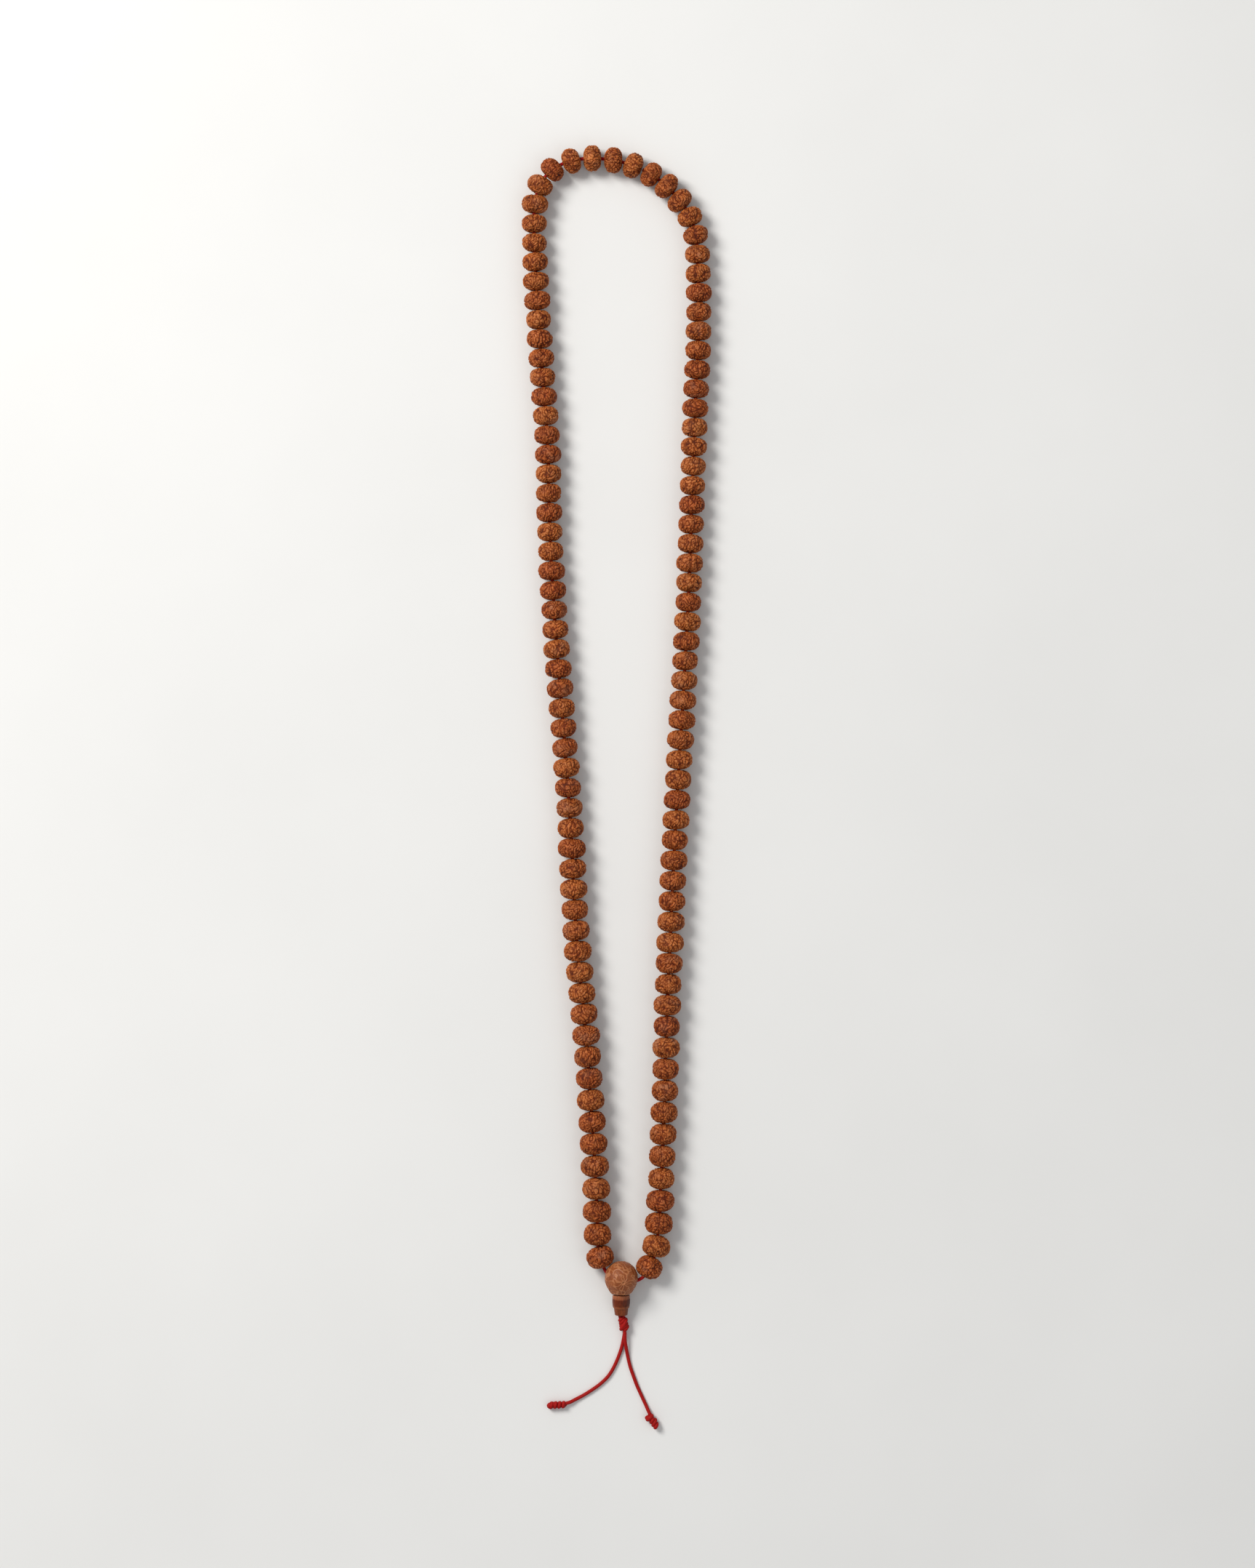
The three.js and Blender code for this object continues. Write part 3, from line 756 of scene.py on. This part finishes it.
def make_loop_cord():
    """The strung run, cut inside beads into pieces that each ride on one body or span one joint."""
    line, points_in_tassel = loop_cord_line()
    cuts, bodies = cord_cuts(line, points_in_tassel)
    points = evenly(line.samples, STRUNG_CORD_STEP)
    grid, relief = cord_rings(points, CORD_DIAMETER / 2, STRUNG_CORD_SIDES)
    places = [round(cut / line.length * (len(points) - 1)) for cut in cuts]
    for number, (first, last) in enumerate(zip(places, places[1:])):
        here, there = bodies[number : number + 2]
        at_parting = (here, there) == (left_links[-1][0], right_links[-1][0])
        if at_parting:
            last -= PARTING_STEPS
        name = f"loop_cord_{number + 1:02d}"
        piece = grid_mesh(name, grid[first : last + 1], {"relief": relief[first : last + 1]}, cord_look)
        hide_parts("loop_cord")
        if here == there or at_parting:
            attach(piece, here)
        else:
            bend_across(piece, here, there, points[first : last + 1])


make_loop_cord()

# ---- Seed beads -------------------------------------------------------------------------------------------

SEED_SIDES = 168
SEED_RINGS = 62
BORE_RINGS = 5
BORE_RADIUS = 0.82
BORE_INSIDE = 0.97  # the bore's radius behind its rim, as a share of the rim's
ROUNDNESS = (0.8, 0.86)  # under 1, a seed's section is fuller than an ellipse, across and along the bore
DIMPLE_DEPTH = 0.1
DIMPLE_WIDTH = 0.4
RIDGE_DEPTH = 0.36
DEPTH_AT_BORE = 0.45  # share of the ridges' depth that is left round the bore
UNEVENNESS = 0.05
UNEVEN_WAVES = (6, 6.0)
PROFILE_SAMPLES = 400
PATTERN_BEND = 0.2  # mm by which the ridges' pattern is bent
PATTERN_BEND_WAVES = (6, 3.0)
RIDGE_WAVES = (26, 1.32)
RIDGE_STRETCH = (1, 1, 0.6)  # under 1, the ridges are longer along the seed's axis than round it
RIDGE_EDGE = (0.03, 0.95)  # the wave's heights at a ridge's foot and at its top
RIDGE_FULLNESS = 0.8
CROSSING_WAVES = (22, 1.5)
CROSSING_EDGE = (0.0, 0.5)
CROSSING_FLOOR = 0.25  # share of a ridge's height that is left where a crevice crosses it
LUMP_WAVES = (20, 0.72)
LUMP_HEIGHT = 0.16
LUMP_BASE = 0.92
FULL_DEPTH = (0.9, 2.6)  # radii between which the ridges grow to their full depth
RELIEF_IN_BORE = 0.05
CREASES = 5  # from pole to pole of a seed
CREASE_WIDTH = 0.13
CREASE_STRENGTH = (0.1, 0.95)
CREASE_WANDER = 0.12  # how far a crease lies from its even place, in parts of the space between two
SIZE_RANGE = (0.96, 1.03)  # a seed's radius over the one that its place on the string gives
LEAN = math.radians(2.5)  # usual tilt of a seed on the string
DUST_AND_SHEEN_POWER = 3  # over 1, most seeds have little dust and painted sheen
PUSH = 0.3  # mm by which the first bead has slid against the guru bead
PUSH_REACH = 4  # beads over which that dies away
LAST_BEAD_SIZE = 0.945
LAST_BEAD_BACK = 0.12
HINGE_REACH = 1.55  # mm from the cord at which two beads meet when the cord bends between them
PARTING_ROOM = 0.08  # mm taken off each of the two beads at the loop's parting
TIGHT_PAIR = [27, 28]  # two neighbours whose ridges stand highest where they meet
TIGHT_PAIR_ROOM = 0.04


def seed_profile(radius, half_thickness):
    """[radius, z] round a seed's section: over the outside from one end of the bore, and back through it."""
    angle = np.linspace(-math.pi / 2, math.pi / 2, PROFILE_SAMPLES)
    across = radius * np.cos(angle) ** ROUNDNESS[0]
    along = half_thickness * np.sign(np.sin(angle)) * np.abs(np.sin(angle)) ** ROUNDNESS[1]
    along -= np.sign(along) * DIMPLE_DEPTH * np.exp(-(((across - BORE_RADIUS) / DIMPLE_WIDTH) ** 2))
    outside = np.stack([across, along], 1)
    outer = even_profile(outside[across >= BORE_RADIUS], SEED_RINGS)
    bore_z = np.linspace(outer[-1, 1], outer[0, 1], BORE_RINGS + 2)[1:-1]
    bore = np.stack([np.full(BORE_RINGS, BORE_RADIUS * BORE_INSIDE), bore_z], 1)
    return np.vstack([outer, bore])


def crease_strength(points, rng):
    """1 at the bottom of the deepest pole-to-pole crease, and 0 between creases."""
    azimuth = np.arctan2(points[:, 1], points[:, 0])
    across = np.hypot(points[:, 0], points[:, 1])
    crease = np.zeros(len(points))
    first = rng.uniform(0, FULL_TURN)
    for number in range(CREASES):
        place = first + (number + rng.uniform(-CREASE_WANDER, CREASE_WANDER)) * FULL_TURN / CREASES
        away = np.abs(np.angle(np.exp(1j * (azimuth - place)))) * across
        crease = np.maximum(crease, rng.uniform(*CREASE_STRENGTH) * np.exp(-((away / CREASE_WIDTH) ** 2)))
    return crease


def seed_relief(points, rng):
    """How high the seed's winding ridges stand, from 0 at the bottom of a crevice to 1 on top of a ridge."""
    bend = np.stack([waves(points, PATTERN_BEND_WAVES, rng) for _ in range(3)], 1)
    bent = points + PATTERN_BEND * bend
    winding = np.abs(waves(bent, RIDGE_WAVES, rng, RIDGE_STRETCH))
    crossing = np.abs(waves(bent, CROSSING_WAVES, rng))
    ridges = smoothstep(winding, *RIDGE_EDGE) ** RIDGE_FULLNESS
    ridges *= CROSSING_FLOOR + (1 - CROSSING_FLOOR) * smoothstep(crossing, *CROSSING_EDGE)
    lumps = LUMP_BASE + LUMP_HEIGHT * waves(points, LUMP_WAVES, rng)
    return np.clip(ridges * lumps * (1 - crease_strength(points, rng)), 0, 1)


def hinge_room():
    """How much of each bead's half thickness is given up so that it can lean on its neighbours' joints."""
    room = np.zeros(BEAD_COUNT)
    for side, links in (("left", left_links), ("right", right_links)):
        for body, first, last, _ in links:
            bend = math.radians(max(abs(angle) for angle in range_of[body]))
            for index in (first - 1, first) if side == "left" else (last, last + 1):
                if 0 <= index < BEAD_COUNT:
                    room[index] = max(room[index], HINGE_REACH / 2 * math.tan(bend))
    room[LEFT_BEADS - 1 : LEFT_BEADS + 1] += PARTING_ROOM
    room[TIGHT_PAIR] += TIGHT_PAIR_ROOM
    return room


bead_room = hinge_room()


def seed_surface(radius, half_thickness, rng):
    """A seed about Z: its rings, and how high its relief stands at each point."""
    profile = seed_profile(radius, half_thickness)
    grid = turned_grid(profile, SEED_SIDES)
    flat = grid.reshape(-1, 3)
    outside = (np.arange(len(profile)) < SEED_RINGS)[:, None]
    relief = np.where(outside, seed_relief(flat, rng).reshape(grid.shape[:2]), RELIEF_IN_BORE)
    uneven = UNEVENNESS * waves(flat, UNEVEN_WAVES, rng).reshape(grid.shape[:2])
    depth = DEPTH_AT_BORE + (1 - DEPTH_AT_BORE) * smoothstep(profile[:, 0], *FULL_DEPTH)[:, None]
    lift = np.where(outside, depth * (RIDGE_DEPTH * (relief - 1) + uneven), 0)
    grid = grid + normals_of(grid, closed_lengthwise=True) * lift[..., None]
    grid[..., 2] = np.clip(grid[..., 2], -half_thickness, half_thickness)
    return grid, relief


def make_seed(index, rng):
    station = (bead_edges[index] + bead_edges[index + 1]) / 2 - PUSH * math.exp(-index / PUSH_REACH)
    radius = bead_radius_at(station) * rng.uniform(*SIZE_RANGE)
    if index == BEAD_COUNT - 1:
        station -= LAST_BEAD_BACK
        radius = bead_radius_at(station) * LAST_BEAD_SIZE
    grid, relief = seed_surface(radius, bead_thickness[index] / 2 - bead_room[index], rng)
    tint = np.full(relief.shape, rng.uniform(0, 1))
    # each seed's amount of dust and painted sheen
    dust = np.full(relief.shape, rng.uniform(0, 1) ** DUST_AND_SHEEN_POWER)
    along = Vector(string_line.tangent(station))
    turn = Vector((0, 0, 1)).rotation_difference(along).to_matrix().to_4x4()
    lean = Matrix.Rotation(rng.normal() * LEAN, 4, "Z")
    spin = Matrix.Rotation(rng.uniform(0, FULL_TURN), 4, "Z")
    grid = set_down(grid, lean @ turn @ spin, string_point(station))
    attributes = {"relief": relief, "tint": tint, "dust": dust}
    piece = grid_mesh(f"seed_{index + 1:03d}", grid, attributes, seed_look, closed_lengthwise=True)
    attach(piece, body_of_bead[index])
    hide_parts(node_of_bead[index])


rng_seeds = np.random.default_rng(RANDOM_SEED)
for bead_index in range(BEAD_COUNT):
    make_seed(bead_index, rng_seeds)

# ---- Guru bead --------------------------------------------------------------------------------------------

GURU_RINGS = 130
GURU_SIDES = 240
GURU_UNEVENNESS = 0.04
GURU_UNEVEN_WAVES = (8, 7.0)
VEIN_POLE = Vector((0.74, -0.97, 5.0)).normalized()  # where the veins run together, a little off the top
VEIN_HEIGHT = 0.12
STAR_VEINS = 5  # half the number of veins that leave the pole
STAR_ANGLES = (math.radians(20), math.radians(48))  # from the pole, over which the star turns into a net
STAR_WOBBLE = 0.75
STAR_WOBBLE_WAVES = (8, 3.4)
NEAR_POLE = 0.3  # mm from the pole within which the star's veins taper
NET_BEND = 0.25  # mm
NET_BEND_WAVES = (6, 3)
NET_SIZE = 2.0
NET_WAVES = (30, NET_SIZE)
FINE_NET_SIZE = 1.35
FINE_NET_WAVES = (30, FINE_NET_SIZE)
FINE_PATCH_WAVES = (8, 3)  # the fine veins come and go in patches
FINE_PATCH_EDGE = (-0.7, 0.7)
FADE_WAVES = (8, 2.6)  # the main veins fade here and there
FADE_EDGE = (-1, 0.4)
FADED = 0.75  # strength of a main vein where it is most faded
VEIN_EDGE = (0.04, 0.19)  # mm from a vein's middle to where it starts and ends falling off
FINE_VEIN_EDGE = (0.02, 0.11)
FINE_VEIN_STRENGTH = 0.75
POLE_OPENING = 0.004  # radians, of the first and the last ring
HOLE_DEPTH = 0.5
PIT_RADIUS = 0.28  # of the small pit at the veins' pole
PIT_SHARE = 0.9  # its depth over a hole's
HOLE_EDGE = (0.62, 0.95)  # radii of a hole's floor and of its rim
HOLES = [Vector((-4.4, 0.85, 0)), Vector((4.5, -1.1, 0)), Vector((0, -5.0, -1.1))]  # left, right, tassel
SEAT = 5.08  # how far out the upright flat lies that the tower stands against
SEAT_EDGE = (0.01, 0.12)  # mm behind the seat over which the veins fade in
SHOULDER = 0.6  # how far the rim of that flat stands out of the ball
SHOULDER_ANGLE = math.radians(24)
SHOULDER_SPREAD = math.radians(20)


def vein_strength(points, polar, azimuth, rng):
    """1 on a vein and 0 between: a star of veins round the pole that breaks up into a net."""
    star = np.cos(STAR_VEINS * azimuth + STAR_WOBBLE * waves(points, STAR_WOBBLE_WAVES, rng))
    bend = NET_BEND * waves(points, NET_BEND_WAVES, rng)
    net = waves(points + bend[:, None], NET_WAVES, rng)
    share = smoothstep(polar, *STAR_ANGLES)
    spread = STAR_VEINS / np.maximum(GURU_RADIUS * np.sin(polar), NEAR_POLE)
    distance = np.abs(star * (1 - share) + net * share)
    distance = distance / ((1 - share) * spread + share * FULL_TURN / NET_SIZE)
    fine_distance = np.abs(waves(points, FINE_NET_WAVES, rng)) * FINE_NET_SIZE / FULL_TURN
    main = 1 - smoothstep(distance, *VEIN_EDGE)
    fine = 1 - smoothstep(fine_distance, *FINE_VEIN_EDGE)
    fine *= smoothstep(waves(points, FINE_PATCH_WAVES, rng), *FINE_PATCH_EDGE)
    fade = FADED + (1 - FADED) * smoothstep(waves(points, FADE_WAVES, rng), *FADE_EDGE)
    return np.maximum(main * fade, FINE_VEIN_STRENGTH * fine)


def hole_relief(points, polar, turn):
    """1 on the guru's skin, and towards 0 in the pit at its pole and in its holes."""
    relief = 1 - PIT_SHARE * np.exp(-((polar * GURU_RADIUS / PIT_RADIUS) ** 2))
    for hole in HOLES:
        centre = np.array(turn.inverted() @ hole.normalized()) * GURU_RADIUS
        relief = np.minimum(relief, smoothstep(np.linalg.norm(points - centre, axis=1), *HOLE_EDGE))
    return relief


def seat_stretch(directions):
    """How far out the guru's surface lies, with a flat seat and rounded shoulders on the tower's side."""
    towards = directions @ np.array([0, -math.cos(TASSEL_PITCH), -math.sin(TASSEL_PITCH)])
    beyond = np.maximum(np.arccos(np.clip(towards, -1, 1)) - SHOULDER_ANGLE, 0)
    shoulders = GURU_RADIUS + SHOULDER * np.exp(-((beyond / SHOULDER_SPREAD) ** 2))
    return np.minimum(SEAT / np.maximum(-directions[:, 1], 1e-3), shoulders)


def make_guru():
    rng = np.random.default_rng(RANDOM_SEED + 1)
    polar = np.linspace(POLE_OPENING, math.pi - POLE_OPENING, GURU_RINGS)[::-1]
    profile = np.stack([GURU_RADIUS * np.sin(polar), GURU_RADIUS * np.cos(polar)], 1)
    grid = turned_grid(profile, GURU_SIDES)
    shape = grid.shape[:2]
    flat = grid.reshape(-1, 3)
    azimuth = np.arctan2(flat[:, 1], flat[:, 0])
    from_pole = np.arccos(np.clip(flat[:, 2] / GURU_RADIUS, -1, 1))
    turn = Vector((0, 0, 1)).rotation_difference(VEIN_POLE).to_matrix()
    vein = vein_strength(flat, from_pole, azimuth, rng)
    relief = hole_relief(flat, from_pole, turn)
    uneven = GURU_UNEVENNESS * waves(flat, GURU_UNEVEN_WAVES, rng)
    lift = VEIN_HEIGHT * (vein - 0.5) + uneven - HOLE_DEPTH * (1 - relief)
    directions = (flat / GURU_RADIUS) @ np.array(turn).T
    surface = seat_stretch(directions)
    lift *= smoothstep(np.abs(-surface * directions[:, 1] - SEAT), *SEAT_EDGE)
    grid = grid * ((surface + lift) / GURU_RADIUS).reshape(shape)[..., None]
    grid = set_down(grid, turn.to_4x4(), (0, 0))
    piece = grid_mesh("guru", grid, {"vein": vein, "relief": relief}, guru_look)
    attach(piece, "guru")
    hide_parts("guru_bead")


make_guru()

# ---- Tower ------------------------------------------------------------------------------------------------

TOWER_SIDES = 120
TOWER_RINGS = 150
TOWER_BORE = 1.25
BORE_PLACES = (TOWER_LENGTH - 0.15, 3.0, 0.2)  # distances of the bore's rings from the wide end
GRAIN_RELIEF = 0.012
GRAIN_WAVES = (20, 0.9)
GRAIN_STRETCH = (1, 1, 0.15)  # under 1, the grain runs along the tower
LINE_WIDTH = 0.07
LINE_STRENGTH = 0.6
TOWER_PROFILE = [  # [radius, distance from the wide end], outside, wide end first
    (2.36, 0.0), (2.52, 0.03), (2.64, 0.14), (2.67, 0.24), (2.65, 0.27), (2.64, 0.3), (2.68, 0.36),
    (2.7, 0.6), (2.7, 0.9), (2.68, 0.96), (2.7, 1.02), (2.74, 1.3), (2.75, 1.8), (2.74, 2.3), (2.7, 2.7),
    (2.66, 3.2), (2.62, 3.42), (2.59, 3.46), (2.6, 3.52), (2.58, 3.75), (2.52, 3.88), (2.38, 3.97),
    (2.28, 4.05), (2.24, 4.25), (2.18, 4.8), (2.1, 5.4), (2.0, 6.1), (1.95, 6.36), (1.84, 6.47), (1.7, 6.5),
]
LIGHT_LINES = (0.27, 3.48, 3.9)  # distances of the tower's pale turned lines
WIDE_FACE = 5.36  # how far from the guru's centre the tower's wide end stands upright
WIDE_END_BLEND = 1.5
NARROW_END_BLEND = 1.2
NARROW_END_SHARE = 0.6  # how much of the lean is taken out of the narrow end


def upright_ends(grid):
    """Cuts the tilted tower's ends upright, the wide end flush with the guru's seat."""
    down = grid[..., 2]
    lean = grid[..., 1] * math.tan(TASSEL_PITCH)
    wide_shift = WIDE_FACE / math.cos(TASSEL_PITCH) - TOWER_TOP - lean
    wide_share = np.clip(1 - (down - TOWER_TOP) / WIDE_END_BLEND, 0, 1)
    narrow_share = np.clip(1 - (TOWER_TOP + TOWER_LENGTH - down) / NARROW_END_BLEND, 0, 1)
    grid[..., 2] = down + wide_shift * wide_share - NARROW_END_SHARE * lean * narrow_share
    return grid


def make_tower():
    rng = np.random.default_rng(RANDOM_SEED + 2)
    bore = np.array([(TOWER_BORE, place) for place in BORE_PLACES])
    profile = np.vstack([even_profile(np.array(TOWER_PROFILE), TOWER_RINGS), bore])[::-1]
    profile[:, 1] += TOWER_TOP
    grid = turned_grid(profile, TOWER_SIDES)
    shape = grid.shape[:2]
    grain = waves(grid.reshape(-1, 3), GRAIN_WAVES, rng, GRAIN_STRETCH).reshape(shape)
    outer = (profile[:, 0] > TOWER_BORE)[:, None]
    lift = (GRAIN_RELIEF * grain * outer)[..., None]
    grid = upright_ends(grid + normals_of(grid, closed_lengthwise=True) * lift)
    down = (profile[:, 1] - TOWER_TOP)[:, None]
    line = LINE_STRENGTH * sum(np.exp(-(((down - place) / LINE_WIDTH) ** 2)) for place in LIGHT_LINES)
    attributes = {
        "along": np.broadcast_to(down / TOWER_LENGTH, shape),
        "line": np.broadcast_to(line, shape),
    }
    grid = placed(grid.reshape(-1, 3), down_tassel).reshape(grid.shape)
    piece = grid_mesh("tower", grid, attributes, wood_look, closed_lengthwise=True)
    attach(piece, "tassel_head")
    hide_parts("tower_bead")


make_tower()

# ---- Floor and light --------------------------------------------------------------------------------------

FLOOR_HALF = 4.0  # m
LIGHT_AIM = Vector((0, 0.15, 0))  # m, near the middle of the loop
WORLD_COLOUR = (0.96, 0.98, 1, 1)
WORLD_STRENGTH = 0.42


def make_floor():
    corners = [(x * FLOOR_HALF, y * FLOOR_HALF, 0) for x, y in ((-1, -1), (1, -1), (1, 1), (-1, 1))]
    mesh = bpy.data.meshes.new("floor")
    mesh.from_pydata(corners, [], [(0, 1, 2, 3)])
    mesh.materials.append(floor_material())
    floor = bpy.data.objects.new("floor", mesh)
    bpy.context.scene.collection.objects.link(floor)


def make_light(name, place, watts, size, colour=(1, 1, 1)):
    data = bpy.data.lights.new(name, "AREA")
    data.energy = watts
    data.size = size
    data.color = colour
    light = bpy.data.objects.new(name, data)
    light.location = place
    light.rotation_euler = (LIGHT_AIM - Vector(place)).to_track_quat("-Z", "Y").to_euler()
    bpy.context.scene.collection.objects.link(light)


def make_world():
    world = bpy.data.worlds.new("world")
    world.use_nodes = True
    background = world.node_tree.nodes["Background"]
    background.inputs["Color"].default_value = WORLD_COLOUR
    background.inputs["Strength"].default_value = WORLD_STRENGTH
    bpy.context.scene.world = world


make_floor()
make_light("key", place=(-0.75, 0.75, 1.0), watts=17.5, size=0.55, colour=(1, 0.985, 0.96))
make_light("fill", place=(0.9, -0.5, 1.3), watts=3, size=1.2)
make_world()
bpy.context.scene.view_settings.view_transform = "Standard"
